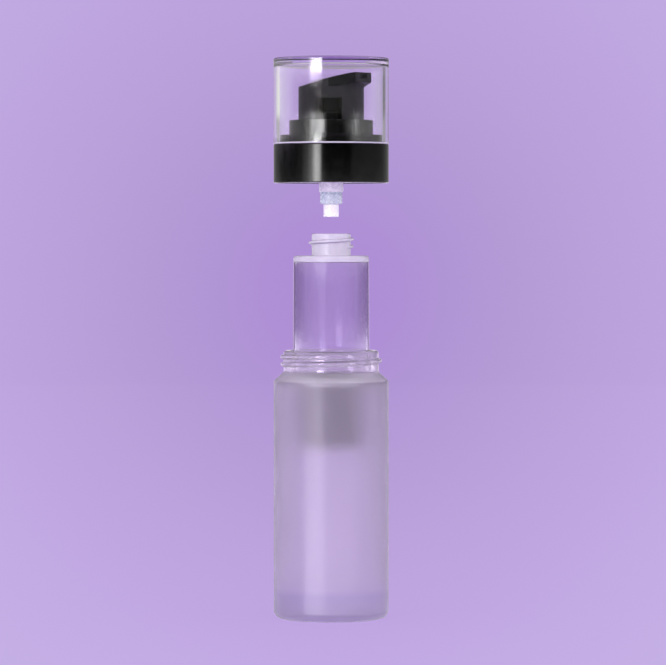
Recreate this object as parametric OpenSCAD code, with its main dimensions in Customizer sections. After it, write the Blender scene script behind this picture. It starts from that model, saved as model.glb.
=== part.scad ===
// Pump bottle for liquid foundation, drawn taken apart along its axis:
// a frosted glass bottle, a cartridge half drawn out of it, and the pump head above both.
// Heights are those of the closed bottle, measured from its base; the lifts are added last.

/* [Glass bottle] */
// Diameter of the glass body, which the collar and the overcap share
body_d = 38; // [37.6:0.1:42]
// Height of the glass bottle up to its rim
bottle_h = 88.5; // [80:0.5:110]
// Thickness of the heavy glass base
base_t = 9.4; // [4:0.2:14]
// Radius of the rounded heel
heel_r = 2.7; // [1:0.1:4]

/* [Cartridge] */
// Length of the cartridge from its lower end to the top of its neck
cartridge_l = 71.4; // [66:0.2:78]
// Diameter of the cartridge at its shoulder
cartridge_d = 24.9; // [24:0.1:25.4]

/* [Head] */
// Height of the collar's wide ring
ring_h = 12.7; // [12.2:0.1:16]
// Diameter of the round actuator
drum_d = 21.6; // [20.8:0.1:22.4]
// Direction of the spout, turned from +X towards the front
spout_turn = 41; // [0:1:90]
// Height of the overcap
cap_h = 28.4; // [27.4:0.1:34]

/* [Taken apart] */
// How far the cartridge is drawn up out of the bottle
cartridge_lift = 32.1; // [0:0.1:60]
// How far the head is lifted off the cartridge
head_lift = 32.3; // [4:0.1:60]

/* [Hidden] */
$fn = 96;
past = 1;
body_r = body_d / 2;

// Screw threads: one lead for both necks, so that one turning motion closes both
lead = 2.4;
screw_turns = 1.5;
screw_travel = lead * screw_turns;
ridge_base = 1.1;
ridge_crest = 0.5;
ridge_sunk = 0.25;
ridge_steps = 40;
female_start_gap = 0.1;

// Glass neck
neck_r = 15.7;
neck_crest_r = 16.7;
neck_bore_r = 13.2;
neck_foot_z = bottle_h - 7.1;
shoulder_z = bottle_h - 10.1;
glass_wall = 2.2;
lip_r = 1;
neck_thread_z = bottle_h - 5.8;
neck_thread_turns = 1.75;
neck_thread_top = neck_thread_z + lead * neck_thread_turns;

// Cartridge
cartridge_top = bottle_h + 6.5;
cartridge_low = cartridge_top - cartridge_l;
cartridge_shoulder = cartridge_top - 7.3;
cartridge_r = cartridge_d / 2;
cartridge_draft = 0.25;
cartridge_bore_r = cartridge_r - 0.75;
cartridge_round = 1.6;
spout_neck_r = 6.4;
spout_neck_crest_r = 7.4;
spout_neck_bore_r = 5;
cartridge_thread_z = cartridge_top - 4.5;
cartridge_thread_turns = 1.1;
cartridge_thread_top = cartridge_thread_z + lead * cartridge_thread_turns;
base_plug_t = 1.8;
vent_r = 1;

// Follower
follower_gap = 0.05;
follower_low = cartridge_low + 3;
follower_h = 21.6;
follower_well_r = 4.7;

// Pump engine, from the sealing face on the cartridge's neck
gasket_t = 0.9;
flange_z = cartridge_top + gasket_t;
flange_t = 1.2;
flange_r = 7;
housing_r = 4;
housing_bore_r = 3.2;
housing_low = cartridge_top - 18.6;
chamber_r = 3.65;
chamber_top = housing_low - 0.65;
chamber_low = chamber_top - 3.3;
nipple_r = 2.5;
nipple_bore_r = 1.2;
nipple_low = chamber_low - 4.3;
ball_r = 1.2;
ball_z = chamber_low + 1.92;
ball_room_r = 1.6;
seat_low = chamber_top + 2.25;
seat_t = 0.6;
spring_low = seat_low + seat_t;
rod_foot_z = cartridge_top - 7;
spring_coils = 6;
spring_wire_r = 0.28;
spring_r = 2.35;
piston_low = rod_foot_z + 0.85;
stem_low = piston_low + 2.75;
stem_r = 2;
stem_bore_r = 1.1;
stem_top = cartridge_top + 10.6;
stem_fit = 0.04;
plate_z = flange_z + flange_t + 0.2;
plate_t = 1.1;

// Collar
collar_low = shoulder_z + 1;
ring_top = collar_low + ring_h;
collar_wall = 1.2;
screw_ring_r = 18.1;
screw_ring_bore_r = neck_crest_r + 0.3;
screw_ring_lip_r = screw_ring_r - 0.35;
web_top = ring_top - collar_wall;
web_low = web_top - 1.2;
step_r = body_r - 2.1;
step_top = ring_top + 3;
tier_r = 13.9;
tier_top = ring_top + 7.9;
closure_r = 9.2;
closure_low = cartridge_shoulder + 1.2;
closure_bore_r = spout_neck_crest_r + 0.3;

// Actuator
drum_r = drum_d / 2;
drum_wall = 1;
drum_low = tier_top - 2.5;
roof_z = tier_top + 9.9;
crown_low = tier_top + 11.2;
crown_rise = 4.5;
crown_start = -6;
crown_run = 22.5;
tip_x = 13.84;
tip_half_w = 3.85;
beak_low = tier_top + 10.5;
beak_slope = 0.21;
beak_start = 5.8;
fillet_r = 3;
window_w = 8.3;
window_x = -0.7;
window_top = tier_top + 7.2;
socket_r = 3.4;
socket_low = tier_top + 2.6;
arm_r = 1.2;
arm_bore_r = 0.7;
arm_z = tier_top + 8.2;
arm_tilt = 24.7;
arm_l = 13.7;
nozzle_w = 3.4;
nozzle_h = 1.7;
nozzle_depth = 1.7;
nozzle_z = tier_top + 14.3;
slot_w = 2.5;
slot_h = 0.9;

// Overcap
cap_low = ring_top + 0.05;
cap_top = ring_top + cap_h;
cap_bore_r = step_r + 0.3;
cap_top_t = 2.1;
cap_round = 1.3;

gasket_raise = cartridge_lift + head_lift - screw_travel;
head_raise = cartridge_lift + head_lift;

// A tube between two heights
module tube(outer, inner, low, high) {
    difference() {
        translate([0, 0, low]) cylinder(r = outer, h = high - low);
        translate([0, 0, low - past]) cylinder(r = inner, h = high - low + 2 * past);
    }
}

// A plain bore, cut from low to high
module bore(r, low, high) {
    translate([0, 0, low]) cylinder(r = r, h = high - low);
}

// Half section of a round bar whose lower and upper edges are rounded
module bar_section(r, low, high, low_round, high_round) {
    translate([0, low + low_round]) square([r, high - low - low_round - high_round]);
    translate([0, low]) square([r - low_round, high - low - high_round]);
    translate([0, low + low_round]) square([r - high_round, high - low - low_round]);
    if (low_round > 0) {
        translate([r - low_round, low + low_round]) circle(r = low_round);
    }
    if (high_round > 0) {
        translate([r - high_round, high - high_round]) circle(r = high_round);
    }
}

// Faces of a strip that joins rings of points, with both ends closed
function strip_faces(rings, sides) = concat(
    [[for (j = [sides - 1:-1:0]) j]],
    [for (i = [0:rings - 2], j = [0:sides - 1])
        let (a = i * sides + j, b = i * sides + (j + 1) % sides)
        [a, b, b + sides]],
    [for (i = [0:rings - 2], j = [0:sides - 1])
        let (a = i * sides + j, b = i * sides + (j + 1) % sides)
        [a, b + sides, a + sides]],
    [[for (j = [0:sides - 1]) (rings - 1) * sides + j]]
);

function around(r, angle, z) = [r * cos(angle), r * sin(angle), z];

// Helical ridge from root to crest radius. Its middle passes through height zero_z at angle 0,
// it starts at height start_z, and it fades into the wall at both ends.
module thread(root, crest, zero_z, start_z, turns) {
    way = sign(crest - root);
    steps = ceil(turns * ridge_steps);
    fade_steps = ridge_steps / 8;
    start_angle = (start_z - zero_z) * 360 / lead;
    base = root - way * ridge_sunk;
    points = [for (i = [0:steps])
        let (
            angle = start_angle + 360 * turns * i / steps,
            z = start_z + lead * turns * i / steps,
            fade = min(1, i / fade_steps, (steps - i) / fade_steps),
            edge = root - way * 0.1 + (crest - root + way * 0.1) * fade
        )
        each [
            around(base, angle, z - way * ridge_base / 2),
            around(edge, angle, z - way * ridge_crest / 2),
            around(edge, angle, z + way * ridge_crest / 2),
            around(base, angle, z + way * ridge_base / 2)
        ]];
    polyhedron(points, strip_faces(steps + 1, 4));
}

// Plan of the actuator: a disc drawn out to the spout's square tip by two tangents
module actuator_plan(r) {
    reach = norm([tip_x, tip_half_w]);
    tangent = atan(tip_half_w / tip_x) + acos(r / reach);
    circle(r = r);
    polygon([
        [r * cos(tangent), -r * sin(tangent)],
        [tip_x, -tip_half_w],
        [tip_x, tip_half_w],
        [r * cos(tangent), r * sin(tangent)]
    ]);
}

function ease(x) = x * x * (3 - 2 * x);

function crown(x) = crown_low + crown_rise * ease(min(1, max(0, (x - crown_start) / crown_run)));

module glass_bottle() {
    color([0.86, 0.85, 0.92, 0.6]) {
        difference() {
            rotate_extrude() difference() {
                union() {
                    bar_section(body_r, 0, shoulder_z - 2, heel_r, 0);
                    polygon([
                        [0, shoulder_z - 3], [body_r, shoulder_z - 3], [body_r, shoulder_z - 0.5],
                        [body_r - 0.6, shoulder_z + 0.4], [neck_r + 0.4, neck_foot_z - 0.4],
                        [neck_r, neck_foot_z], [neck_r, bottle_h - 2], [0, bottle_h - 2]
                    ]);
                    bar_section(neck_r, neck_foot_z, bottle_h, 0, lip_r);
                }
                bar_section(body_r - glass_wall, base_t, shoulder_z - 4, 3, 0);
                polygon([
                    [0, shoulder_z - 5], [body_r - glass_wall, shoulder_z - 4],
                    [neck_bore_r, shoulder_z], [neck_bore_r, bottle_h - 0.5],
                    [neck_bore_r + 0.5, bottle_h + past], [0, bottle_h + past]
                ]);
                polygon([[0, -past], [13.6, -past], [13.6, 0], [12.8, 0.5], [0, 0.8]]);
            }
        }
        thread(neck_r, neck_crest_r, neck_thread_z, neck_thread_z, neck_thread_turns);
    }
}

module cartridge_body() {
    color([0.85, 0.82, 0.93, 0.5]) translate([0, 0, cartridge_lift]) {
        rotate_extrude() difference() {
            union() {
                polygon([
                    [0, cartridge_low], [cartridge_r + cartridge_draft, cartridge_low],
                    [cartridge_r, cartridge_shoulder - cartridge_round],
                    [0, cartridge_shoulder - cartridge_round]
                ]);
                bar_section(cartridge_r, cartridge_shoulder - 4, cartridge_shoulder, 0, cartridge_round);
                translate([0, cartridge_low + 2]) square([spout_neck_r, cartridge_l - 2]);
            }
            bar_section(cartridge_bore_r, cartridge_low - past, cartridge_shoulder - 1.2, 0, 1);
            translate([0, cartridge_low]) square([spout_neck_bore_r, cartridge_l + past]);
        }
        thread(
            spout_neck_r, spout_neck_crest_r, cartridge_thread_z + lead * 0.1,
            cartridge_thread_z, cartridge_thread_turns
        );
    }
}

module cartridge_base() {
    color("whitesmoke") translate([0, 0, cartridge_lift]) {
        tube(cartridge_bore_r, vent_r, cartridge_low, cartridge_low + base_plug_t);
    }
}

module follower_piston() {
    lip_r = cartridge_bore_r - follower_gap;
    top = follower_low + follower_h;
    color([0.17, 0.15, 0.2]) translate([0, 0, cartridge_lift]) {
        tube(lip_r - 0.6, follower_well_r + 0.8, top - 3.5, top - 2.5);
        tube(lip_r, lip_r - 1, follower_low, top - 1);
        tube(follower_well_r + 0.8, follower_well_r, follower_low, top);
        bore(follower_well_r + 0.4, follower_low, follower_low + 0.8);
    }
}

module neck_gasket() {
    color("gainsboro") translate([0, 0, gasket_raise]) {
        tube(6.3, housing_r + 0.1, cartridge_top, flange_z);
    }
}

module pump_housing() {
    color([0.93, 0.92, 0.96, 0.7]) translate([0, 0, head_raise]) {
        difference() {
            union() {
                bore(housing_r, housing_low, flange_z + flange_t);
                bore(flange_r, flange_z, flange_z + flange_t);
            }
            bore(housing_bore_r, housing_low - past, flange_z + flange_t + past);
        }
    }
}

module valve_chamber() {
    color([0.8, 0.88, 0.97, 0.6]) translate([0, 0, head_raise]) {
        difference() {
            union() {
                bore(chamber_r, chamber_low, chamber_top);
                bore(housing_bore_r, chamber_top - 0.5, seat_low);
            }
            bore(ball_room_r, chamber_low + 1.76, seat_low + past);
            translate([0, 0, chamber_low + 0.86]) cylinder(r1 = 0.7, r2 = ball_room_r, h = 0.9);
            bore(0.7, chamber_low - past, chamber_low + 1);
            bore(ball_room_r, chamber_low - past, chamber_low + 0.6);
        }
    }
}

module inlet_nipple() {
    color([0.97, 0.96, 1, 0.85]) translate([0, 0, head_raise]) {
        difference() {
            union() {
                bore(nipple_r, nipple_low, chamber_low);
                bore(ball_room_r, chamber_low - 0.5, chamber_low + 0.6);
            }
            bore(nipple_bore_r, nipple_low - past, chamber_low + past);
        }
    }
}

module inlet_ball() {
    color("royalblue") translate([0, 0, head_raise + ball_z]) sphere(r = ball_r);
}

module spring_seat() {
    color("white") translate([0, 0, head_raise]) {
        difference() {
            union() {
                bore(housing_bore_r - 0.05, seat_low, spring_low);
                bore(ball_room_r - 0.1, seat_low - 1.3, seat_low + 0.3);
            }
            bore(0.5, seat_low - 2, spring_low + past);
            for (turn = [0, 90]) {
                rotate([0, 0, turn]) translate([-1.45, -0.3, seat_low - 2]) cube([2.9, 0.6, 4]);
            }
        }
    }
}

module return_spring() {
    low = spring_low + spring_wire_r;
    high = rod_foot_z - spring_wire_r;
    sides = 6;
    steps = spring_coils * 16;
    points = [for (i = [0:steps], j = [0:sides - 1])
        let (bend = 360 * j / sides)
        around(
            spring_r + spring_wire_r * cos(bend),
            360 * spring_coils * i / steps,
            low + (high - low) * i / steps + spring_wire_r * sin(bend)
        )];
    color("silver") translate([0, 0, head_raise]) {
        polyhedron(points, strip_faces(steps + 1, sides));
    }
}

module housing_cap() {
    top = plate_z + plate_t;
    color("whitesmoke") translate([0, 0, head_raise]) {
        difference() {
            union() {
                bore(5.6, flange_z + flange_t, top);
                bore(housing_bore_r, flange_z - 2.3, flange_z + flange_t + 0.5);
            }
            bore(stem_r + 0.1, flange_z - 4, top + past);
        }
    }
}

module plunger_rod() {
    color("white") translate([0, 0, head_raise]) {
        bore(2.75, rod_foot_z, rod_foot_z + 0.8);
        difference() {
            bore(stem_bore_r, rod_foot_z + 0.4, stem_low + 3);
            translate([0.5, -2, stem_low - 0.6]) cube([2, 4, 5]);
        }
    }
}

module sliding_piston() {
    hub_top = piston_low + 1.9;
    color("gainsboro") translate([0, 0, head_raise]) {
        tube(2.8, stem_bore_r + 0.1, piston_low, hub_top);
        tube(housing_bore_r - 0.03, 2.6, piston_low, hub_top + 0.8);
    }
}

module plunger_stem() {
    color([0.16, 0.16, 0.16]) translate([0, 0, head_raise]) {
        tube(stem_r, stem_bore_r, stem_low, stem_top);
    }
}

module pump_closure() {
    color("white") translate([0, 0, head_raise]) {
        difference() {
            union() {
                bore(closure_r, closure_low, plate_z + plate_t);
                bore(closure_r + 0.25, web_top, web_top + 0.8);
            }
            bore(closure_bore_r, closure_low - past, flange_z - 0.65);
            bore(flange_r - 0.2, closure_low, flange_z);
            bore(flange_r + 0.2, flange_z - 0.15, plate_z);
            bore(5.9, plate_z - past, plate_z + plate_t + past);
        }
        thread(
            closure_bore_r, closure_bore_r - 0.9,
            cartridge_thread_z + lead * 0.1 + lead / 2 - screw_travel,
            cartridge_thread_top + ridge_base - screw_travel + female_start_gap, 1
        );
    }
}

module screw_ring() {
    color("white") translate([0, 0, head_raise]) {
        tube(screw_ring_r, screw_ring_lip_r, collar_low + 0.2, collar_low + 1.5);
        tube(screw_ring_r, screw_ring_bore_r, collar_low + 1, web_low + 0.5);
        tube(screw_ring_r, closure_r, web_low, web_top);
        thread(
            screw_ring_bore_r, screw_ring_bore_r - 0.9,
            neck_thread_z + lead / 2 - screw_travel,
            neck_thread_top + ridge_base - screw_travel + female_start_gap, 1
        );
    }
}

module rim_seal() {
    color("gainsboro") translate([0, 0, head_raise]) {
        tube(screw_ring_bore_r - 0.1, neck_bore_r + 0.2, bottle_h + 0.05, web_low);
    }
}

module collar() {
    color([0.03, 0.03, 0.03]) translate([0, 0, head_raise]) {
        rotate_extrude() polygon([
            [screw_ring_r, collar_low], [body_r, collar_low], [body_r, ring_top],
            [step_r, ring_top], [step_r, step_top], [tier_r, step_top], [tier_r, tier_top],
            [drum_r + 0.3, tier_top], [drum_r + 0.3, tier_top - collar_wall],
            [tier_r - collar_wall, tier_top - collar_wall],
            [tier_r - collar_wall, step_top - collar_wall],
            [step_r - collar_wall, step_top - collar_wall],
            [step_r - collar_wall, web_top], [screw_ring_r, web_top]
        ]);
    }
}

module actuator_shell() {
    crown_points = [for (i = [0:24]) let (x = -16 + 32 * i / 24) [x, crown(x)]];
    color([0.24, 0.24, 0.24]) translate([0, 0, head_raise]) difference() {
        rotate([0, 0, -spout_turn]) difference() {
            intersection() {
                union() {
                    bore(drum_r, drum_low, crown_low + crown_rise);
                    intersection() {
                        linear_extrude(height = crown_low + crown_rise) actuator_plan(drum_r);
                        union() {
                            rotate([90, 0, 0]) linear_extrude(height = 30, center = true) polygon([
                                [beak_start - 1, beak_low - beak_slope],
                                [tip_x + 1, beak_low + beak_slope * (tip_x + 1 - beak_start)],
                                [tip_x + 1, crown_low + crown_rise],
                                [beak_start - 1, crown_low + crown_rise]
                            ]);
                            rotate_extrude() difference() {
                                translate([drum_r - 0.5, beak_low - 1.5]) square([fillet_r, fillet_r]);
                                translate([drum_r + fillet_r, beak_low - 1.5]) circle(r = fillet_r);
                            }
                        }
                    }
                }
                rotate([90, 0, 0]) linear_extrude(height = 30, center = true) {
                    polygon(concat([[16, drum_low - past], [-16, drum_low - past]], crown_points));
                }
            }
            bore(drum_r - drum_wall, drum_low - past, roof_z);
            translate([0, 0, arm_z]) rotate([0, 90 - arm_tilt, 0]) cylinder(r = arm_r, h = arm_l);
            translate([tip_x - nozzle_depth, -nozzle_w / 2, nozzle_z - nozzle_h / 2]) {
                cube([nozzle_depth + past, nozzle_w, nozzle_h]);
            }
        }
        translate([window_x - window_w / 2, -20, drum_low - past]) {
            cube([window_w, 15, window_top - drum_low + past]);
        }
    }
}

module actuator_core() {
    color([0.16, 0.16, 0.16]) translate([0, 0, head_raise]) {
        rotate([0, 0, -spout_turn]) difference() {
            union() {
                bore(socket_r, socket_low, roof_z);
                translate([0, 0, arm_z]) rotate([0, 90 - arm_tilt, 0]) {
                    cylinder(r = arm_r, h = arm_l - 0.6);
                }
            }
            bore(stem_r + stem_fit, socket_low - past, stem_top + 0.1);
            bore(0.9, stem_top - past, arm_z);
            translate([0, 0, arm_z]) rotate([0, 90 - arm_tilt, 0]) {
                cylinder(r = arm_bore_r, h = arm_l + past);
            }
            translate([tip_x - nozzle_depth, -5, nozzle_z - 5]) cube([10, 10, 10]);
        }
    }
}

module nozzle_insert() {
    color([0.05, 0.05, 0.05]) translate([0, 0, head_raise]) rotate([0, 0, -spout_turn]) {
        translate([tip_x - nozzle_depth, 0, nozzle_z]) difference() {
            translate([0, -nozzle_w / 2, -nozzle_h / 2]) cube([nozzle_depth, nozzle_w, nozzle_h]);
            translate([-past, -slot_w / 2, -slot_h / 2]) cube([nozzle_depth + 2 * past, slot_w, slot_h]);
        }
    }
}

module overcap() {
    color([0.88, 0.84, 0.94, 0.35]) translate([0, 0, head_raise]) rotate_extrude() difference() {
        bar_section(body_r, cap_low, cap_top, 0.3, cap_round);
        bar_section(cap_bore_r, cap_low - past, cap_top - cap_top_t, 0, 0.8);
    }
}

glass_bottle();
cartridge_body();
cartridge_base();
follower_piston();
neck_gasket();
pump_housing();
valve_chamber();
inlet_nipple();
inlet_ball();
spring_seat();
return_spring();
housing_cap();
plunger_rod();
sliding_piston();
plunger_stem();
pump_closure();
screw_ring();
rim_seal();
collar();
actuator_shell();
actuator_core();
nozzle_insert();
overcap();
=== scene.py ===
"""Looks of the foundation bottle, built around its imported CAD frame.

Sections and sizes are in millimetres, in the frame's axes, and turn into metres when a mesh is made.
Turned pieces are lathed from a section whose corners are rounded, and threads are raised on them.
"""
import math

import bmesh
import bpy
import numpy as np
from mathutils import Matrix, Vector

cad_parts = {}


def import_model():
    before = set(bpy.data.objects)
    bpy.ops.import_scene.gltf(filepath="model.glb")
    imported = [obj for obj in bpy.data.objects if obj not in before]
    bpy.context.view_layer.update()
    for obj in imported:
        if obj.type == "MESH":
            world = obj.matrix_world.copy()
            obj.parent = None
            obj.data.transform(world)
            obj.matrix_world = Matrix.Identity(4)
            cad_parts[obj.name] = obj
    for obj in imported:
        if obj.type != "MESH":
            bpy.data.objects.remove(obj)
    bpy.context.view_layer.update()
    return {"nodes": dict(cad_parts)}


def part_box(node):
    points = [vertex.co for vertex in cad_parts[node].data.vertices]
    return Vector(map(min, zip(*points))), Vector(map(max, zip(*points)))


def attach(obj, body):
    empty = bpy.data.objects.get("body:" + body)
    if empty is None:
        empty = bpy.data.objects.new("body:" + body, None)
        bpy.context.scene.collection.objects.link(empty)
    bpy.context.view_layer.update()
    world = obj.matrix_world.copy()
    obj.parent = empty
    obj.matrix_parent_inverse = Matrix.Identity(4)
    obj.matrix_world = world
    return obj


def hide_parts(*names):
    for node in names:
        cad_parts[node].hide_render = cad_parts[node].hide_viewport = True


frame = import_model()

MM = 0.001


# ---------------------------------------------------------------- sizes, from the frame

def span(node):
    """(radius, lowest height, highest height) of a turned CAD node, in millimetres."""
    low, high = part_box(node)
    return high.x / MM, low.z / MM, high.z / MM


body_r, _, rim_z = span("glass_bottle")
_, cartridge_low, cartridge_top = span("cartridge_body")
_, collar_low, tier_top = span("collar")
cap_r, cap_low, cap_top = span("overcap")
_, housing_low, flange_top = span("pump_housing")
_, chamber_low, seat_low = span("valve_chamber")
_, nipple_low, nipple_top = span("inlet_nipple")
_, drum_low, _ = span("actuator_shell")

LEAD = 2.4                      # of both screw threads
THREAD_FADE = 0.125             # turns over which a thread's ends run out

glass_wall = 2.2
glass_base = 9.4
glass_shoulder = rim_z - 10.1
glass_neck_foot = rim_z - 7.1
glass_neck_r = 15.7
glass_crest_r = 16.7
glass_bore_r = 13.2
glass_thread_z = rim_z - 5.8
glass_thread_turns = 1.75

cartridge_r = 12.45
cartridge_draft = 0.25
cartridge_wall = 0.75
cartridge_shoulder = cartridge_top - 7.3
cartridge_neck_r = 6.4
cartridge_crest_r = 7.4
cartridge_bore_r = 5
cartridge_thread_z = cartridge_top - 4.5
cartridge_thread_turns = 1.3

ring_top = collar_low + 12.7
step_r = body_r - 2.1
step_top = ring_top + 3
tier_r = 13.9
collar_wall = 1.2
collar_skirt_r = 18.1
drum_r = 10.8

cap_bore_r = step_r + 0.3
cap_lens = 2.1
cap_round = 1.2

spout_turn = -41                # degrees from +X, towards the front
spout_tip_x = 13.84
spout_half_w = 3.85
crown_low = tier_top + 11.2
crown_rise = 4.5
crown_start = -6
crown_run = 22.5
beak_low = tier_top + 10.5
beak_start = 5.8
beak_slope = 0.21
roof_z = tier_top + 9.9
nozzle_z = tier_top + 14.3
nozzle_depth = 1.7
nozzle_half_w = 1.7
nozzle_half_h = 0.85
window_w = 8.3
window_x = -0.7
window_top = tier_top + 7.2


# ---------------------------------------------------------------- mesh code

def corner(r, z, rounding=0.0, finish=0, step=0.0):
    """A section corner. finish is the material slot of the surface that follows it, and step
    is the distance between points on that stretch, where it has to be fine."""
    return r, z, rounding, finish, step


def trace(corners, closed):
    """Section points (radius, height, finish) along corners, with arcs at the rounded ones."""
    points = []
    count = len(corners)
    cuts = []
    for i, (r, z, rounding, _, _) in enumerate(corners):
        here = np.array([r, z], float)
        ends = not closed and i in (0, count - 1)
        if ends or rounding <= 0:
            cuts.append((here, here, []))
            continue
        back = np.array(corners[i - 1][:2], float) - here
        on = np.array(corners[(i + 1) % count][:2], float) - here
        back_l, on_l = np.linalg.norm(back), np.linalg.norm(on)
        back, on = back / back_l, on / on_l
        half = math.acos(max(-1.0, min(1.0, float(back @ on)))) / 2
        reach = min(rounding / math.tan(half), 0.48 * back_l, 0.48 * on_l)
        rounding = reach * math.tan(half)
        middle = back + on
        centre = here + middle / np.linalg.norm(middle) * rounding / math.sin(half)
        first, last = here + back * reach, here + on * reach
        turn = math.pi - 2 * half
        steps = max(3, math.ceil(turn / math.radians(13)))
        a, b = first - centre, last - centre
        arc = [centre + (a * math.sin(turn * (1 - t)) + b * math.sin(turn * t)) / math.sin(turn)
               for t in (k / steps for k in range(steps + 1))]
        support = 0.12 * rounding
        cuts.append((first + back * support, last + on * support, arc))
    for i, (start, end, arc) in enumerate(cuts):
        finish, step = corners[i][3], corners[i][4]
        before = corners[i - 1][3]
        if arc:
            half_way = len(arc) // 2
            points.append((*start, before))
            points += [(*p, before if k < half_way else finish) for k, p in enumerate(arc)]
        points.append((*end, finish))
        if step and (closed or i < count - 1):
            nxt = cuts[(i + 1) % count][0]
            pieces = max(1, round(float(np.linalg.norm(nxt - end)) / step))
            points += [(*(end + (nxt - end) * k / pieces), finish) for k in range(1, pieces)]
    return points


def loft(name, rings, finishes, closed, materials, sharp=38):
    """A closed mesh through rings of points. A ring of one point is a pole."""
    vertices, starts = [], []
    for ring in rings:
        starts.append((len(vertices), len(ring)))
        vertices += [tuple(float(v) * MM for v in p) for p in ring]
    faces, slots = [], []
    last = len(rings) if closed else len(rings) - 1
    for i in range(last):
        (a, n), (b, m) = starts[i], starts[(i + 1) % len(rings)]
        sides = max(n, m)
        for j in range(sides):
            k = (j + 1) % sides
            if n == 1:
                faces.append((a, b + j, b + k))
            elif m == 1:
                faces.append((a + j, b, a + k))
            else:
                faces.append((a + j, b + j, b + k, a + k))
            slots.append(finishes[i])
    mesh = bpy.data.meshes.new(name)
    mesh.from_pydata(vertices, [], faces)
    mesh.polygons.foreach_set("material_index", slots)
    bm = bmesh.new()
    bm.from_mesh(mesh)
    bmesh.ops.remove_doubles(bm, verts=bm.verts, dist=1e-7)
    bmesh.ops.recalc_face_normals(bm, faces=bm.faces)
    bm.to_mesh(mesh)
    bm.free()
    mesh.polygons.foreach_set("use_smooth", [True] * len(mesh.polygons))
    mesh.set_sharp_from_angle(angle=math.radians(sharp))
    for material in materials:
        mesh.materials.append(material)
    piece = bpy.data.objects.new(name, mesh)
    bpy.context.scene.collection.objects.link(piece)
    return piece


def lathe(name, corners, materials, closed=True, relief=None, sides=192, sharp=38):
    """A turned piece. relief(angle, r, z) gives how far the surface stands out there."""
    angles = np.arange(sides) * 2 * math.pi / sides
    section = trace(corners, closed)
    rings = []
    for r, z, _ in section:
        if r < 1e-6:
            rings.append([(0, 0, z)])
            continue
        radius = np.full(sides, r)
        if relief is not None:
            radius = radius + relief(angles, r, z)
        rings.append(np.stack([radius * np.cos(angles), radius * np.sin(angles),
                               np.full(sides, z)], axis=1))
    return loft(name, rings, [finish for _, _, finish in section], closed, materials, sharp)


def thread(root, crest, start_z, turns, foot, flat, zero=0.0):
    """Relief of a right-hand thread on a neck of radius root. Its ridge is foot wide at its root
    and flat wide at its crest, and starts at start_z, where it has turned zero turns from +X."""
    def relief(angles, r, z):
        if r < root - 0.05 or r > root + 0.05 or abs(z - start_z) > LEAD * (turns + 1):
            return np.zeros_like(angles)
        turned = angles / (2 * math.pi) - zero
        best = np.full_like(angles, 9.0)
        along = np.zeros_like(angles)
        for k in range(-1, math.ceil(turns) + 2):
            s = turned + k
            off = np.abs(z - (start_z + LEAD * s))
            nearer = (s >= 0) & (s <= turns) & (off < best)
            best = np.where(nearer, off, best)
            along = np.where(nearer, s, along)
        slope = (foot / 2 - best) / ((foot - flat) / 2)
        ramp = np.clip(slope, 0, 1)
        fade = np.clip(np.minimum(along, turns - along) / THREAD_FADE, 0, 1)
        return (crest - root) * ramp * ramp * (3 - 2 * ramp) * fade
    return relief


def install(piece, body, slot, *nodes):
    """piece rides on body and stands for the CAD nodes. slot is not used."""
    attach(piece, body)
    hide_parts(*nodes)


# ---------------------------------------------------------------- materials

def srgb(*values):
    """Linear colour of an 8-bit display colour."""
    linear = [v / 255 / 12.92 if v <= 10 else ((v / 255 + 0.055) / 1.055) ** 2.4 for v in values]
    return (*linear, 1.0)


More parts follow.
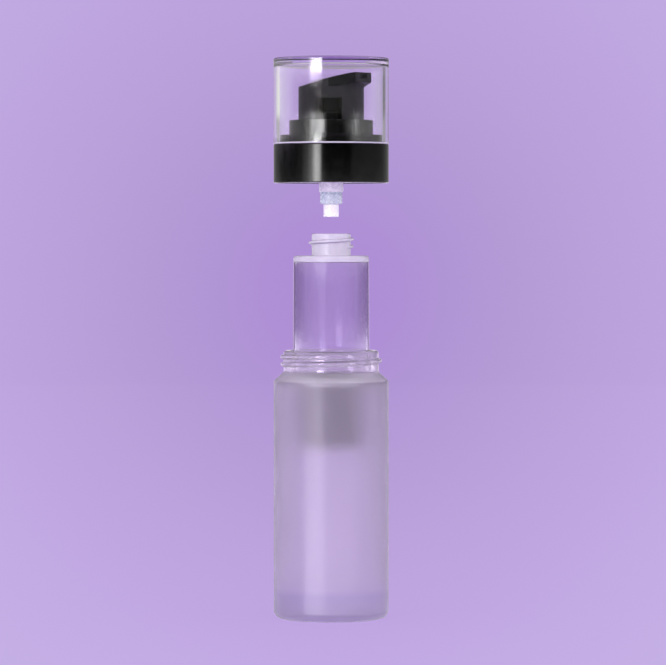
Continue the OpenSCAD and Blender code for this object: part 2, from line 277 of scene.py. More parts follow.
class Finish:
    """A node material around one Principled shader, with noise that works in millimetres."""

    def __init__(self, name, **sockets):
        self.material = bpy.data.materials.new(name)
        self.material.use_nodes = True
        self.nodes = self.material.node_tree.nodes
        self.links = self.material.node_tree.links
        self.shader = self.nodes["Principled BSDF"]
        for key, value in sockets.items():
            self.shader.inputs[key.replace("_", " ")].default_value = value
        self.place = self.nodes.new("ShaderNodeTexCoord").outputs["Object"]

    def noise(self, grain, detail=3.0, stretch=(1, 1, 1), seed=0.0):
        """Noise from 0 to 1 whose features are about grain millimetres across."""
        mapping = self.nodes.new("ShaderNodeMapping")
        mapping.inputs["Scale"].default_value = [s / (grain * MM) for s in stretch]
        mapping.inputs["Location"].default_value = (seed, seed * 1.7, seed * 0.6)
        texture = self.nodes.new("ShaderNodeTexNoise")
        texture.inputs["Scale"].default_value = 1.0
        texture.inputs["Detail"].default_value = detail
        self.links.new(self.place, mapping.inputs["Vector"])
        self.links.new(mapping.outputs["Vector"], texture.inputs["Vector"])
        return texture.outputs["Fac"]

    def height(self, low, high):
        """Runs from 0 to 1 between two heights in millimetres."""
        xyz = self.nodes.new("ShaderNodeSeparateXYZ")
        self.links.new(self.place, xyz.inputs["Vector"])
        spread = self.nodes.new("ShaderNodeMapRange")
        spread.inputs["From Min"].default_value = low * MM
        spread.inputs["From Max"].default_value = high * MM
        self.links.new(xyz.outputs["Z"], spread.inputs["Value"])
        return spread.outputs["Result"]

    def vary(self, socket, source, low, high, start=0.3, stop=0.7):
        """socket runs from low to high as source runs from start to stop."""
        spread = self.nodes.new("ShaderNodeMapRange")
        for key, value in (("From Min", start), ("From Max", stop), ("To Min", low), ("To Max", high)):
            spread.inputs[key].default_value = value
        self.links.new(source, spread.inputs["Value"])
        self.links.new(spread.outputs["Result"], self.shader.inputs[socket])

    def tint(self, source, low, high, start=0.3, stop=0.7):
        """Base colour runs from low to high as source runs from start to stop."""
        ramp = self.nodes.new("ShaderNodeValToRGB")
        ramp.color_ramp.elements[0].position = start
        ramp.color_ramp.elements[0].color = low
        ramp.color_ramp.elements[1].position = stop
        ramp.color_ramp.elements[1].color = high
        self.links.new(source, ramp.inputs["Fac"])
        self.links.new(ramp.outputs["Color"], self.shader.inputs["Base Color"])

    def bump(self, depth, source):
        """Raises the surface by up to depth millimetres where source is high."""
        bump = self.nodes.new("ShaderNodeBump")
        bump.inputs["Distance"].default_value = depth * MM
        bump.inputs["Strength"].default_value = 1.0
        self.links.new(source, bump.inputs["Height"])
        self.links.new(bump.outputs["Normal"], self.shader.inputs["Normal"])


def frosted_glass(name="frosted_glass", clear=0.88):
    """Blurred glass under a smoother skin, with painted shade over the solid base, where its colour is a
    little deeper in tone.
    """
    made = Finish(name, Transmission_Weight=clear, IOR=1.5, Coat_Weight=1.0, Coat_Roughness=0.2,
                  Coat_IOR=1.45)
    # Painted shade: the base colour darkens over the solid base, blending in across its top.
    base_shade = made.height(glass_base - 1.2, glass_base + 1.2)
    made.tint(base_shade, (0.78, 0.73, 0.9, 1), (0.96, 0.91, 1.0, 1), 0, 1)
    made.vary("Roughness", made.noise(2.5, detail=5, seed=3), 0.64, 0.72)
    made.bump(0.004, made.noise(0.16, detail=2, seed=7))
    return made.material


def clear_glass():
    made = Finish("clear_glass", Transmission_Weight=0.85, IOR=1.5)
    made.tint(made.noise(14), (0.97, 0.93, 1.0, 1), (1.0, 0.97, 1.0, 1))
    made.vary("Roughness", made.noise(5, detail=4, seed=2), 0.01, 0.04)
    made.bump(0.05, made.noise(6, detail=1, seed=5))
    return made.material


def cap_plastic(name="cap_plastic", low=(0.98, 0.97, 0.99, 1), high=(1.0, 1.0, 1.0, 1)):
    made = Finish(name, Transmission_Weight=1.0, IOR=1.49)
    made.tint(made.noise(16, seed=4), low, high)
    rub = made.noise(0.5, detail=4, stretch=(1, 1, 0.06), seed=1)
    made.vary("Roughness", rub, 0.01, 0.05)
    made.bump(0.012, made.noise(12, detail=1, seed=6))
    return made.material


def cartridge_plastic():
    made = Finish("cartridge_plastic", Transmission_Weight=1.0, IOR=1.49)
    made.tint(made.noise(10, seed=8), (0.98, 0.97, 1.0, 1), (1.0, 1.0, 1.0, 1))
    made.vary("Roughness", made.noise(3, detail=4, seed=9), 0.02, 0.06)
    made.bump(0.015, made.noise(5, detail=1, stretch=(1, 1, 0.3), seed=2))
    return made.material


def milky_plastic():
    made = Finish("milky_plastic", Transmission_Weight=0.35, IOR=1.49)
    made.tint(made.noise(4, detail=3, seed=2), (0.66, 0.61, 0.73, 1), (0.71, 0.67, 0.79, 1))
    made.vary("Roughness", made.noise(1.5, detail=3, seed=5), 0.10, 0.18)
    made.bump(0.006, made.noise(1.5, detail=1, seed=3))
    return made.material


def natural_plastic(name="natural_plastic", low=(0.92, 0.9, 0.95, 1), high=(0.97, 0.95, 0.99, 1),
                    clear=0.15):
    """Milk-white moulding, which clear makes see-through."""
    made = Finish(name, Transmission_Weight=clear, IOR=1.5)
    made.tint(made.noise(3, detail=2, stretch=(1, 1, 0.4)), low, high)
    made.vary("Roughness", made.noise(1.2, detail=3, seed=4), 0.22, 0.34)
    made.bump(0.003, made.noise(1.2, detail=1, seed=2))
    return made.material


def soft_seal():
    made = Finish("soft_seal", IOR=1.45)
    made.tint(made.noise(2), (0.72, 0.72, 0.74, 1), (0.8, 0.8, 0.82, 1))
    made.vary("Roughness", made.noise(0.8, seed=3), 0.5, 0.65)
    made.bump(0.01, made.noise(0.3, seed=5))
    return made.material


def spring_steel():
    made = Finish("spring_steel", Metallic=1.0)
    made.tint(made.noise(0.8), (0.55, 0.55, 0.57, 1), (0.72, 0.72, 0.74, 1))
    made.vary("Roughness", made.noise(0.2, stretch=(0.3, 0.3, 1), seed=3), 0.18, 0.34)
    made.bump(0.004, made.noise(0.08, stretch=(0.2, 0.2, 1), seed=5))
    return made.material


def blue_ball():
    made = Finish("blue_ball", IOR=1.5)
    made.tint(made.noise(0.9), (0.04, 0.16, 0.5, 1), (0.08, 0.25, 0.66, 1))
    made.vary("Roughness", made.noise(0.4, seed=3), 0.1, 0.2)
    return made.material


def gloss_black():
    made = Finish("gloss_black", IOR=1.5)
    made.tint(made.noise(8), (0.0008, 0.0008, 0.0009, 1), (0.0012, 0.0012, 0.0014, 1))
    made.vary("Roughness", made.noise(1.5, detail=4, stretch=(1, 1, 0.4), seed=3), 0.06, 0.08)
    made.bump(0.004, made.noise(3.5, detail=1, seed=6))
    return made.material


def satin_black(name="satin_black", low=(0.056, 0.06, 0.052, 1), high=(0.069, 0.073, 0.065, 1), rough=0.5):
    made = Finish(name, IOR=1.5, Specular_IOR_Level=0.15)
    made.tint(made.noise(2.5, detail=5), low, high)
    made.vary("Roughness", made.noise(0.6, detail=4, seed=3), rough - 0.06, rough + 0.06)
    made.bump(0.012, made.noise(0.14, detail=3, seed=5))
    return made.material


FROSTED = frosted_glass()
SHOULDER = frosted_glass("frosted_shoulder", clear=0.76)
CLEAR = clear_glass()
CAP = cap_plastic()
# Painted shade: the cap's rounded top edge is tinted a deeper lilac, standing in for the dark overhead seen
# in it.
CAP_EDGE_SHADE = cap_plastic("cap_rim_painted_shade", (0.6, 0.48, 0.74, 1), (0.64, 0.52, 0.78, 1))
CARTRIDGE = cartridge_plastic()
NATURAL = natural_plastic()
MILKY = milky_plastic()
VALVE = natural_plastic("valve_plastic", (0.76, 0.87, 0.98, 1), (0.86, 0.94, 1.0, 1), clear=0.4)
SEAL = soft_seal()
STEEL = spring_steel()
BALL = blue_ball()
GLOSS = gloss_black()
SATIN = satin_black()
BEAK = satin_black("beak_black", (0.004, 0.004, 0.004, 1), (0.006, 0.006, 0.006, 1), rough=0.3)
CORE = satin_black("core_black", (0.006, 0.006, 0.006, 1), (0.009, 0.009, 0.009, 1))
DARK = satin_black("dark_plastic", (0.05, 0.02, 0.1, 1), (0.065, 0.028, 0.125, 1))


# ---------------------------------------------------------------- turned pieces

def glass_bottle():
    frosted, clear, shoulder = 0, 1, 2
    inside_r = body_r - glass_wall
    corners = [
        corner(0, 0.8, 0, frosted), corner(12.8, 0.5, 0.3, frosted), corner(13.6, 0, 0.35, frosted),
        corner(body_r, 0, 2.7, frosted, 4), corner(body_r, glass_shoulder + 0.05, 1.1, shoulder),
        corner(glass_neck_r, glass_neck_foot, 0.5, clear, 0.14),
        corner(glass_neck_r, rim_z, 1.0, clear), corner(glass_bore_r, rim_z, 0.7, clear, 1.5),
        corner(glass_bore_r, glass_shoulder + 0.6, 1.0, clear),
        corner(inside_r, glass_shoulder - 1.6, 1.5, clear, 4),
        corner(inside_r, glass_base, 3, clear), corner(0, glass_base, 0, clear),
    ]
    ridge = thread(glass_neck_r, glass_crest_r, glass_thread_z, glass_thread_turns, 1.7, 0.8)
    piece = lathe("frosted_bottle", corners, [FROSTED, CLEAR, SHOULDER], closed=False, relief=ridge,
                  sides=256)
    install(piece, "bottle", "frosted_glass", "glass_bottle")


def cartridge():
    inside_r = cartridge_r - cartridge_wall
    inside_top = cartridge_shoulder - 1.2
    clear, milky = 0, 1
    corners = [
        corner(cartridge_r + cartridge_draft, cartridge_low, 0.15, clear, 4),
        corner(cartridge_r, cartridge_shoulder - 2, 0, milky),
        corner(cartridge_r, cartridge_shoulder, 1.6, milky),
        corner(cartridge_neck_r, cartridge_shoulder, 0.45, milky, 0.14),
        corner(cartridge_neck_r, cartridge_top, 0.4, milky),
        corner(cartridge_bore_r, cartridge_top, 0.4, milky, 1.5),
        corner(cartridge_bore_r, inside_top, 0.5, milky), corner(inside_r, inside_top, 1.0, clear, 4),
        corner(inside_r, cartridge_low, 0.12, clear),
    ]
    ridge = thread(cartridge_neck_r, cartridge_crest_r, cartridge_thread_z, cartridge_thread_turns, 1.3, 0.6,
                   zero=-0.1)
    piece = lathe("clear_cartridge", corners, [CARTRIDGE, MILKY], relief=ridge, sides=224)
    install(piece, "cartridge", "clear_plastic", "cartridge_body")


def overcap():
    clear, rim, milky = 0, 1, 2
    corners = [
        corner(0, cap_top - cap_lens, 0, clear), corner(cap_bore_r, cap_top - cap_lens, 0.8, clear, 3),
        corner(cap_bore_r, cap_low, 0.25, milky), corner(cap_r, cap_low, 0.3, milky),
        # The rounded top edge, slot rim, takes the cap's painted shade.
        corner(cap_r, cap_low + 0.5, 0, clear, 3), corner(cap_r, cap_top - cap_round, 0, rim),
        corner(cap_r, cap_top, cap_round, rim), corner(cap_r - cap_round, cap_top, 0, clear),
        corner(0, cap_top, 0, clear),
    ]
    piece = lathe("clear_overcap", corners, [CAP, CAP_EDGE_SHADE, MILKY], closed=False, sides=256)
    install(piece, "overcap", "clear_plastic", "overcap")


def collar():
    shaft_r = drum_r + 0.3
    corners = [
        corner(collar_skirt_r, collar_low, 0.2), corner(body_r, collar_low, 0.25),
        corner(body_r, ring_top, 0.22), corner(step_r, ring_top, 0.25),
        corner(step_r, step_top, 0.22), corner(tier_r, step_top, 0.25),
        corner(tier_r, tier_top, 0.25), corner(shaft_r, tier_top, 0.2),
        corner(shaft_r, tier_top - collar_wall, 0.1),
        corner(tier_r - collar_wall, tier_top - collar_wall, 0.1),
        corner(tier_r - collar_wall, step_top - collar_wall, 0.1),
        corner(step_r - collar_wall, step_top - collar_wall, 0.1),
        corner(step_r - collar_wall, ring_top - collar_wall, 0.1),
        corner(collar_skirt_r, ring_top - collar_wall, 0.1),
    ]
    piece = lathe("black_collar", corners, [GLOSS], sides=256)
    install(piece, "collar", "gloss_black", "collar")


def pump_foot():
    """The parts of the pump that hang below the collar."""
    housing_r, housing_bore = 4, 3.2
    flange_r, flange_low = 7, flange_top - 1.2
    housing = lathe("pump_barrel", [
        corner(housing_bore, housing_low, 0.15), corner(housing_r, housing_low, 0.3),
        corner(housing_r, flange_low, 0.3), corner(flange_r, flange_low, 0.2),
        corner(flange_r, flange_top, 0.2), corner(housing_bore, flange_top, 0.2),
    ], [NATURAL], sides=128)
    install(housing, "pump", "natural_plastic", "pump_housing")

    chamber_r, chamber_top = 3.65, chamber_low + 3.3
    room_r, inlet_r = 1.6, 0.7      # of the ball's room and the hole below it
    inlet_low, inlet_top, cone_top = chamber_low + 0.6, chamber_low + 0.86, chamber_low + 1.76
    tab_count, tab_depth = 12, 0.42

    def snap_tabs(angles, r, z):
        """Small tabs round the gap between the barrel and the valve chamber."""
        if abs(r - housing_bore) > 0.01 or not chamber_top < z < housing_low:
            return np.zeros_like(angles)
        return np.where(np.cos(angles * tab_count) > 0.1, tab_depth, 0.0)

    chamber = lathe("valve_cup", [
        corner(room_r, chamber_low, 0.1), corner(chamber_r, chamber_low, 0.35),
        corner(chamber_r, chamber_top, 0.3), corner(housing_bore, chamber_top, 0.1, 0, 0.1),
        corner(housing_bore, seat_low, 0.1), corner(room_r, seat_low, 0.1),
        corner(room_r, cone_top), corner(inlet_r, inlet_top),
        corner(inlet_r, inlet_low), corner(room_r, inlet_low),
    ], [VALVE], relief=snap_tabs, sides=144)
    install(chamber, "pump", "valve_plastic", "valve_chamber")

    nipple_r, nipple_bore = 2.5, 1.2
    nipple = lathe("inlet_tube", [
        corner(nipple_bore, nipple_low, 0.15), corner(nipple_r, nipple_low, 0.3),
        corner(nipple_r, chamber_low, 0.1), corner(room_r, chamber_low, 0.05),
        corner(room_r, nipple_top, 0.05), corner(nipple_bore, nipple_top, 0.05),
    ], [NATURAL], sides=96)
    install(nipple, "pump", "natural_plastic", "inlet_nipple")


# ---------------------------------------------------------------- actuator

def crown(x):
    """Height of the actuator's sloped top, x millimetres towards the spout."""
    t = np.clip((x - crown_start) / crown_run, 0, 1)
    return crown_low + crown_rise * t * t * (3 - 2 * t)


def plan_radius(angles):
    """Radius of the actuator's plan at angles from the spout's direction: a disc drawn out to
    the spout's square tip by two tangents, with the tip's corners rounded."""
    reach = math.hypot(spout_tip_x, spout_half_w)
    tangent = math.atan2(spout_half_w, spout_tip_x) + math.acos(drum_r / reach)
    corner_round = 0.7
    side = np.array([drum_r * math.cos(tangent), drum_r * math.sin(tangent)])
    tip = trace([
        corner(*side, step=0.5), corner(spout_tip_x, spout_half_w, corner_round, step=0.5),
        corner(spout_tip_x, -spout_half_w, corner_round, step=0.5),
        corner(side[0], -side[1], step=0.5)], closed=False)
    at = np.array([math.atan2(p[1], p[0]) for p in tip])
    far = np.array([math.hypot(p[0], p[1]) for p in tip])
    order = np.argsort(at)
    wrapped = (angles + math.pi) % (2 * math.pi) - math.pi
    radius = np.interp(wrapped, at[order], far[order])
    return np.where(np.abs(wrapped) > tangent, drum_r, radius)


def box_cutter(name, low, high, rounding, matrix):
    """A box with rounded edges, used only to cut with."""
    bm = bmesh.new()
    bmesh.ops.create_cube(bm, size=1)
    size = Vector(high) - Vector(low)
    middle = (Vector(high) + Vector(low)) / 2
    bmesh.ops.transform(bm, verts=bm.verts, matrix=matrix @ Matrix.Translation(middle * MM)
                        @ Matrix.Diagonal((*(size * MM), 1)))
    if rounding:
        bmesh.ops.bevel(bm, geom=list(bm.edges), offset=rounding * MM, segments=3, affect="EDGES",
                        profile=0.5)
    mesh = bpy.data.meshes.new(name)
    bm.to_mesh(mesh)
    bm.free()
    cutter = bpy.data.objects.new(name, mesh)
    bpy.context.scene.collection.objects.link(cutter)
    return cutter


def cut(piece, cutters):
    """Takes the cutters out of piece, and applies the result to its mesh."""
    for cutter in cutters:
        modifier = piece.modifiers.new("cut", "BOOLEAN")
        modifier.operation = "DIFFERENCE"
        modifier.solver = "EXACT"
        modifier.object = cutter
    bevel = piece.modifiers.new("edges", "BEVEL")
    bevel.width = 0.12 * MM
    bevel.segments = 2
    bevel.limit_method = "ANGLE"
    bevel.angle_limit = math.radians(50)
    bevel.use_clamp_overlap = True
    bpy.context.view_layer.update()
    shaped = piece.evaluated_get(bpy.context.evaluated_depsgraph_get())
    mesh = bpy.data.meshes.new_from_object(shaped)
    piece.modifiers.clear()
    old, piece.data = piece.data, mesh
    bpy.data.meshes.remove(old)
    for cutter in cutters:
        bpy.data.objects.remove(cutter)
    mesh.name = piece.name
    mesh.polygons.foreach_set("use_smooth", [True] * len(mesh.polygons))
    mesh.set_sharp_from_angle(angle=math.radians(38))


def actuator():
    """The drum and its beaked spout, lofted from one section for each angle."""
    sides = 288
    wall, edge = 1.0, 0.45
    angles = np.arange(sides) * 2 * math.pi / sides
    outer = plan_radius(angles)
    way = np.stack([np.cos(angles), np.sin(angles)], axis=1)

    def at(radius, z):
        """A ring of points at a radius and height for each angle."""
        return np.column_stack([way * np.reshape(radius, (-1, 1)), z * np.ones(sides)])

    def on_crown(radius, drop=0.0):
        return at(radius, crown(way[:, 0] * radius) - drop)

    beak = outer > drum_r + 0.01
    under = beak_low + beak_slope * (way[:, 0] * outer - beak_start)
    fillet = np.where(beak, np.minimum(3.0, outer - drum_r), 0)
    foot_z = np.where(beak, beak_low - 1.5, crown_low - 3)
    rings = [[(0, 0, float(crown(0.0)))]]
    rings += [on_crown(outer * share) for share in (0.15, 0.3, 0.45, 0.6, 0.75, 0.88)]
    rings.append(on_crown(outer - edge * 1.4))
    for turn in np.linspace(0, 90, 6):
        t = math.radians(turn)
        rings.append(on_crown(outer - edge * (1 - math.sin(t)), edge * (1 - math.cos(t))))
    rings.append(at(outer, crown(way[:, 0] * outer) - edge * 1.5))
    side_low = np.where(beak, under, foot_z)
    rings.append(at(outer, side_low + 0.25))
    rings.append(at(outer - 0.05, side_low + 0.05))
    rings.append(at(outer - np.where(beak, 0.25, 0.05), side_low - np.where(beak, 0.0, 0.1)))
    for turn in np.linspace(0, 90, 7):
        t = math.radians(turn)
        radius = drum_r + fillet * (1 - math.sin(t))
        beak_line = beak_low + beak_slope * (way[:, 0] * (drum_r + fillet) - beak_start)
        low = np.where(beak, beak_line, foot_z - 0.2)
        z = np.where(beak, low - fillet * (1 - math.cos(t)), foot_z - 0.3 - turn / 300)
        radius = np.where(beak, np.minimum(radius, outer - 0.3 * (turn < 1)), drum_r)
        rings.append(at(radius, z))
    rings.append(at(drum_r, drum_low + 6))
    rings.append(at(drum_r, drum_low + 0.1))
    rings.append(at(drum_r - 0.1, drum_low))
    rings.append(at(drum_r - wall, drum_low))
    rings.append(at(drum_r - wall, roof_z - 0.3))
    rings.append(at(drum_r - wall - 0.3, roof_z))
    rings.append([(0, 0, roof_z)])
    piece = loft("spout_shell", rings, [0] * len(rings), False, [SATIN, BEAK], sharp=40)
    for face in piece.data.polygons:
        x, y, z = face.center / MM
        line = beak_low + beak_slope * (x - beak_start)
        on_side = math.hypot(x, y) > drum_r + 0.02 and beak_start - 1.5 < x < spout_tip_x - 0.2
        if on_side and z > line - 0.1:
            face.material_index = 1
    turn = Matrix.Rotation(math.radians(spout_turn), 4, "Z")
    piece.data.transform(turn)
    window = box_cutter("window_cut", (window_x - window_w / 2, -20, drum_low - 5),
                        (window_x + window_w / 2, -5, window_top), 0.25, Matrix.Identity(4))
    nozzle = box_cutter(
        "nozzle_cut", (spout_tip_x - nozzle_depth, -nozzle_half_w, nozzle_z - nozzle_half_h),
        (spout_tip_x + 3, nozzle_half_w, nozzle_z + nozzle_half_h), 0, turn)
    cut(piece, [window, nozzle])
    install(piece, "actuator", "satin_black", "actuator_shell")


glass_bottle()
cartridge()
overcap()
collar()
pump_foot()
actuator()


# ---------------------------------------------------------------- CAD pieces that show as they are

def dress(material, *names, bevel=0.08):
    """Gives CAD nodes a material and slightly rounded edges."""
    for name in names:
        node = frame["nodes"][name]
        node.data.materials.clear()
        node.data.materials.append(material)
        if bevel:
            modifier = node.modifiers.new("edges", "BEVEL")
            modifier.width = bevel * MM
            modifier.segments = 2
            modifier.limit_method = "ANGLE"
            modifier.angle_limit = math.radians(40)
            modifier.harden_normals = True


dress(NATURAL, "cartridge_base", "screw_ring", "pump_closure", "housing_cap")
dress(NATURAL, "spring_seat", "plunger_rod", bevel=0.04)
dress(SEAL, "neck_gasket", "rim_seal", "sliding_piston")
dress(STEEL, "return_spring", bevel=0)
dress(BALL, "inlet_ball", bevel=0)
dress(DARK, "follower_piston")
dress(CORE, "plunger_stem", "actuator_core", "nozzle_insert", bevel=0.04)


# ---------------------------------------------------------------- stage, lights and camera

EYE = Vector((0.6, -1200, 126)) * MM
AIM_Z = 94.4                    # height at the middle of the picture
VIEW_W = 220.1                  # width of the picture at the bottle's axis
GLOW_RISE = 14                  # of the backdrop's glow above the middle of the picture
GLOW_REACH = 182                # from the glow's middle to its palest tone, at the bottle's axis
TENT_R = 1900                   # of the light sheets
SHEET_STEP = 4                  # degrees between a sheet's uprights


def stage_material(name):
    """An empty node material, with its nodes and links."""
    material = bpy.data.materials.new(name)
    material.use_nodes = True
    nodes, links = material.node_tree.nodes, material.node_tree.links
    nodes.clear()
    return nodes, links, material


def ramp_node(nodes, stops):
    """A colour ramp through stops of (position, colour)."""
    ramp = nodes.new("ShaderNodeValToRGB")
    elements = ramp.color_ramp.elements
    while len(elements) > 1:
        elements.remove(elements[-1])
    elements[0].position, elements[0].color = stops[0]
    for position, colour in stops[1:]:
        elements.new(position).color = colour
    return ramp


def maths(nodes, links, operation, *values):
    """The result of a math node, whose values are numbers or other nodes' results."""
    node = nodes.new("ShaderNodeMath")
    node.operation = operation
    for i, value in enumerate(values):
        if isinstance(value, (int, float)):
            node.inputs[i].default_value = value
        else:
            links.new(value, node.inputs[i])
    return node.outputs["Value"]


def backdrop():
    """A round cove of pale lilac that glows by itself, mostly emission over a little paper, with a soft
    deeper glow painted behind the object and paler tones painted outwards.
    """
    wall_r, wall_h, sweep = 3200, 2600, 900
    spot = bpy.data.objects.new("glow_centre", None)
    bpy.context.scene.collection.objects.link(spot)
    spot.location = EYE
    spot.rotation_euler = (math.atan2(AIM_Z + GLOW_RISE - EYE.z / MM, -EYE.y / MM), 0, 0)
    nodes, links, material = stage_material("lilac_backdrop_glow")
    place = nodes.new("ShaderNodeTexCoord")
    place.object = spot
    xyz = nodes.new("ShaderNodeSeparateXYZ")
    links.new(place.outputs["Object"], xyz.inputs["Vector"])
    x, y, z = xyz.outputs
    squares = [maths(nodes, links, "MULTIPLY", v, v) for v in (x, z)]
    across = maths(nodes, links, "SQRT", maths(nodes, links, "ADD", *squares))
    spread = maths(nodes, links, "DIVIDE", across, maths(nodes, links, "MAXIMUM", y, 0.05))
    share = maths(nodes, links, "MULTIPLY", spread, -EYE.y / MM / GLOW_REACH)
    ramp = ramp_node(nodes, [
        (0.0, srgb(173, 141, 212)), (0.13, srgb(176, 145, 214)), (0.20, srgb(177, 150, 213)),
        (0.33, srgb(181, 156, 214)), (0.47, srgb(186, 161, 218)), (0.62, srgb(190, 165, 223)),
        (0.78, srgb(193, 170, 225)), (0.95, srgb(194, 174, 225))])
    links.new(share, ramp.inputs["Fac"])
    # Painted light: the backdrop glows though it is no lamp, deeper behind the object and paler outwards.
    glow = nodes.new("ShaderNodeEmission")
    glow.inputs["Strength"].default_value = 1.015
    links.new(ramp.outputs["Color"], glow.inputs["Color"])
    paper = nodes.new("ShaderNodeBsdfDiffuse")
    links.new(ramp.outputs["Color"], paper.inputs["Color"])
    mix = nodes.new("ShaderNodeMixShader")
    mix.inputs["Fac"].default_value = 0.07
    links.new(glow.outputs["Emission"], mix.inputs[1])
    links.new(paper.outputs["BSDF"], mix.inputs[2])
    output = nodes.new("ShaderNodeOutputMaterial")
    links.new(mix.outputs["Shader"], output.inputs["Surface"])
    corners = [corner(0, 0), corner(wall_r, 0, sweep, 0, 400), corner(wall_r, wall_h)]
    floor = lathe("backdrop", corners, [material], closed=False, sides=96)
    floor.visible_glossy = False


def tent(name, row, low, high, arcs, sees=("glossy",), tint=(1, 1, 1)):
    """Upright sheets of light round the object. row gives their brightness at directions in degrees
    from the front, positive to the right, low and high their heights, arcs the directions they
    cover, and sees the kinds of ray that meet them."""
    power = max(v for _, v in row) or 1.0
    nodes, links, material = stage_material(name)
    place = nodes.new("ShaderNodeTexCoord")
    xyz = nodes.new("ShaderNodeSeparateXYZ")
    links.new(place.outputs["Object"], xyz.inputs["Vector"])
    x, y, _ = xyz.outputs
    angle = maths(nodes, links, "ARCTAN2", x, maths(nodes, links, "MULTIPLY", y, -1.0))
    share = maths(nodes, links, "MULTIPLY_ADD", angle, 0.5 / math.pi, 0.5)
    ramp = ramp_node(nodes, [(a / 360 + 0.5, (*(v / power * t for t in tint), 1)) for a, v in row])
    links.new(share, ramp.inputs["Fac"])
    glow = nodes.new("ShaderNodeEmission")
    glow.inputs["Strength"].default_value = power
    links.new(ramp.outputs["Color"], glow.inputs["Color"])
    output = nodes.new("ShaderNodeOutputMaterial")
    links.new(glow.outputs["Emission"], output.inputs["Surface"])
    vertices, faces = [], []
    for start, stop in arcs:
        count = math.ceil((stop - start) / SHEET_STEP)
        first = len(vertices)
        for i in range(count + 1):
            a = math.radians(start + (stop - start) * i / count)
            vertices += [(TENT_R * math.sin(a) * MM, -TENT_R * math.cos(a) * MM, z * MM)
                         for z in (low, high)]
        faces += [(k, k + 1, k + 3, k + 2) for k in range(first, first + 2 * count, 2)]
    mesh = bpy.data.meshes.new(name)
    mesh.from_pydata(vertices, [], faces)
    mesh.materials.append(material)
    sheet = bpy.data.objects.new(name, mesh)
    bpy.context.scene.collection.objects.link(sheet)
    sheet.visible_camera = False
    for kind in ("diffuse", "glossy", "transmission"):
        setattr(sheet, "visible_" + kind, kind in sees)


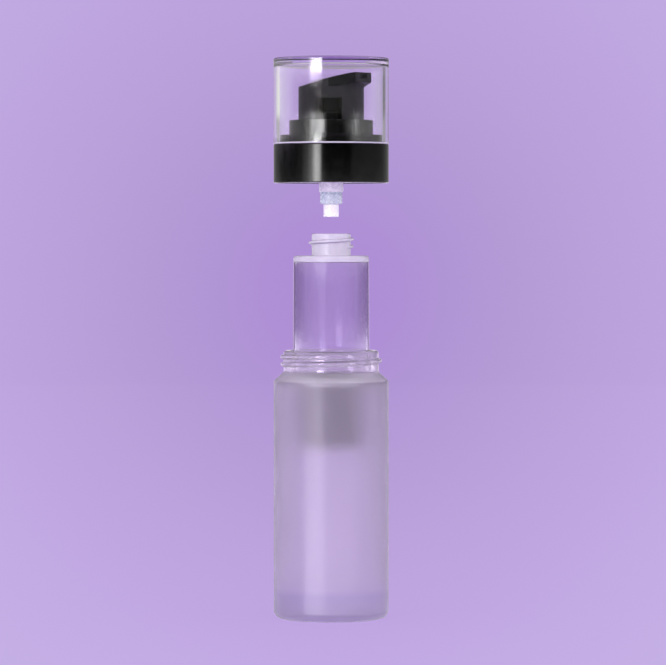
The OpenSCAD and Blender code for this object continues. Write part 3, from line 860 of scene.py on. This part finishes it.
def lights():
    """Softboxes, grey panels and black cards in rows. One set is mirrored by the outsides, one is
    seen from inside the clear walls, and an even one lights whatever is not glossy."""
    lilac, violet = (0.9, 0.79, 1.0), (0.64, 0.42, 1.0)
    all_round = ((-180, 180),)
    tent("body_panels", [
        (-180, 0.6), (-120, 0.8), (-70, 1.4), (-58, 2.0), (-48, 8.0), (-16, 8.0), (-9, 4.8), (40, 4.2),
        (70, 2.2), (120, 0.8), (180, 0.6)], -320, -45, all_round, tint=(0.92, 0.86, 1.0))
    tent("shoulder_panels", [
        (-180, 0.6), (-120, 0.7), (-70, 0.7), (-48, 2.6), (-16, 2.8), (-9, 0.2), (40, 0.2), (70, 0.7),
        (120, 0.7), (180, 0.6)], -45, 8, all_round, tint=(0.92, 0.86, 1.0))
    tent("neck_panels", [
        (-180, 1.2), (-60, 1.4), (-38, 2.4), (-34, 18.0), (-20, 18.0), (-16, 1.4), (36, 1.2), (42, 7.0),
        (52, 7.0), (58, 1.2), (180, 1.2)], 8, 30, all_round, tint=lilac)
    tent("cartridge_panels", [
        (-180, 1.4), (-172, 1.4), (-160, 0.1), (-145, 0.0), (-40, 0.0), (-34, 0.7), (-20, 0.7), (-17, 0.0),
        (145, 0.0), (160, 0.1), (172, 1.4), (180, 1.4)], 30, 108, all_round, tint=lilac)
    tent("pump_panels", [
        (-180, 0.9), (-60, 1.4), (-40, 4.0), (-20, 4.0), (-10, 1.2), (60, 1.2), (180, 0.9)],
        108, 150, all_round)
    tent("valve_panels", [
        (-180, 1.2), (-60, 1.6), (-40, 5.0), (-20, 5.0), (-10, 1.6), (60, 1.6), (180, 1.2)],
        150, 163, all_round)
    tent("ring_panels", [
        (-180, 0.4), (-152, 0.3), (-130, 0.22), (-110, 0.05), (-91, 0.0), (-75, 0.01), (-61, 0.2),
        (-48, 1.1), (-39, 3.4), (-30.5, 13.0), (-24, 10.0), (-18, 0.3), (-11, 0.0),
        (38, 0.0), (46, 0.2), (80, 0.22), (116, 0.16), (152, 0.3), (180, 0.4)], 163, 210, all_round)
    tent("head_panels", [
        (-180, 0.5), (-152, 0.7), (-120, 1.3), (-95, 1.4), (-78, 0.5), (-62, 0.12), (-40, 0.05), (-15, 0.0),
        (38, 0.0), (60, 0.1), (100, 0.15), (152, 0.3), (180, 0.4)], 210, 262, all_round, tint=lilac)
    tent("top_panels", [
        (-180, 0.5), (-152, 0.6), (-120, 1.3), (-95, 1.4), (-66, 1.2), (-48, 1.8), (-43, 6.0), (-37, 22.0),
        (-21, 22.0), (-17, 0.4), (-12, 0.0), (38, 0.0), (60, 0.3), (152, 0.3), (180, 0.4)],
        262, 310, all_round)
    tent("tall_panels", [
        (-180, 0.3), (-66, 0.4), (-45, 1.5), (-20, 1.5), (-12, 0.0), (38, 0.0), (60, 0.2), (180, 0.3)],
        310, 1500, all_round, tint=lilac)

    seen = ("transmission",)
    ends = ((-150, -92), (-88, 88), (92, 150))
    within = ((-155, 150),)
    tent("inner_neck", [
        (-150, 1.8), (-60, 1.8), (-38, 1.8), (-34, 6.0), (-18, 6.0), (-14, 1.2), (20, 1.2), (150, 1.8)],
        2, 22, ends, seen, lilac)
    tent("inner_cartridge", [
        (-180, 0.672), (-178.6, 0.66), (-176, 0.57), (-172, 0.49), (-165, 0.42), (-130, 0.4), (-110, 0.03),
        (-40, 0.02), (-34, 0.1), (-22, 0.1), (-18, 0.0), (110, 0.03), (130, 0.4), (165, 0.42), (172, 0.49),
        (176, 0.57), (178.6, 0.66), (180, 0.672)],
        28, 108, ((-180, -92), (-88, 88), (92, 180)), seen, violet)
    tent("inner_pump", [(0, 1.3)], 108, 165, ends, seen)
    tent("inner_ring", [
        (-150, 0.4), (-60, 0.6), (-45, 2.0), (-26, 3.4), (-18, 0.4), (-10, 0.05), (36, 0.05), (56, 0.6),
        (150, 0.3)], 165, 211, ends, seen)
    tent("inner_tier", [
        (-155, 0.3), (-124, 0.4), (-104, 0.5), (-81, 0.4), (-62, 0.9), (-48, 3.6), (-42, 9.0), (-30, 25.0),
        (-24, 21.0), (-18, 8.0), (-13, 1.6), (-8, 0.0), (26, 0.0), (42, 0.8), (54, 4.8), (66, 2.2),
        (79, 1.6), (103, 0.7), (150, 0.3)], 211, 228, within, seen)
    tent("inner_drum", [
        (-155, 0.6), (-120, 1.1), (-95, 1.2), (-75, 0.3), (-60, 0.1), (-30, 0.3), (-10, 0.4), (30, 0.4),
        (60, 0.2), (100, 0.1), (150, 0.2)], 228, 262, within, seen, (0.96, 1.0, 0.9))
    tent("inner_top", [
        (-155, 0.6), (-120, 1.2), (-95, 1.2), (-66, 1.0), (-50, 1.4), (-45, 8.0), (-21, 8.0), (-17, 0.3),
        (-10, 0.0), (38, 0.0), (60, 0.2), (100, 0.2), (150, 0.3)], 262, 310, within, seen, lilac)
    tent("inner_glow", [
        (-180, 0.45), (-100, 0.5), (-60, 0.8), (60, 0.8), (100, 0.5), (180, 0.45)],
        400, 1900, all_round, seen, lilac)
    tent("fill", [
        (-180, 0.8), (-120, 1.2), (-75, 2.3), (-50, 3.8), (-20, 3.8), (0, 3.0), (60, 2.8), (120, 1.6),
        (180, 0.8)], 5, 1900, all_round, ("diffuse",), (0.98, 0.95, 1.0))


def world():
    """An even pale sky behind the paper and the sheets."""
    sky = bpy.data.worlds.new("studio")
    sky.use_nodes = True
    background = sky.node_tree.nodes["Background"]
    background.inputs["Color"].default_value = (0.92, 0.88, 1.0, 1)
    background.inputs["Strength"].default_value = 0.7
    bpy.context.scene.world = sky


def camera():
    """Looks at the bottle's axis at AIM_Z from EYE."""
    data = bpy.data.cameras.new("camera")
    data.sensor_width = 36
    data.lens = 36 * -EYE.y / MM / VIEW_W
    data.clip_start, data.clip_end = 0.01, 50
    eye = bpy.data.objects.new("camera", data)
    eye.location = EYE
    eye.rotation_euler = (math.radians(90) + math.atan2(AIM_Z * MM - EYE.z, -EYE.y), 0, 0)
    bpy.context.scene.collection.objects.link(eye)
    bpy.context.scene.camera = eye


backdrop()
lights()
world()
camera()
settings = bpy.context.scene
settings.view_settings.view_transform = "Standard"
settings.cycles.max_bounces = 20
settings.cycles.transmission_bounces = 18
settings.cycles.glossy_bounces = 6
settings.cycles.diffuse_bounces = 4
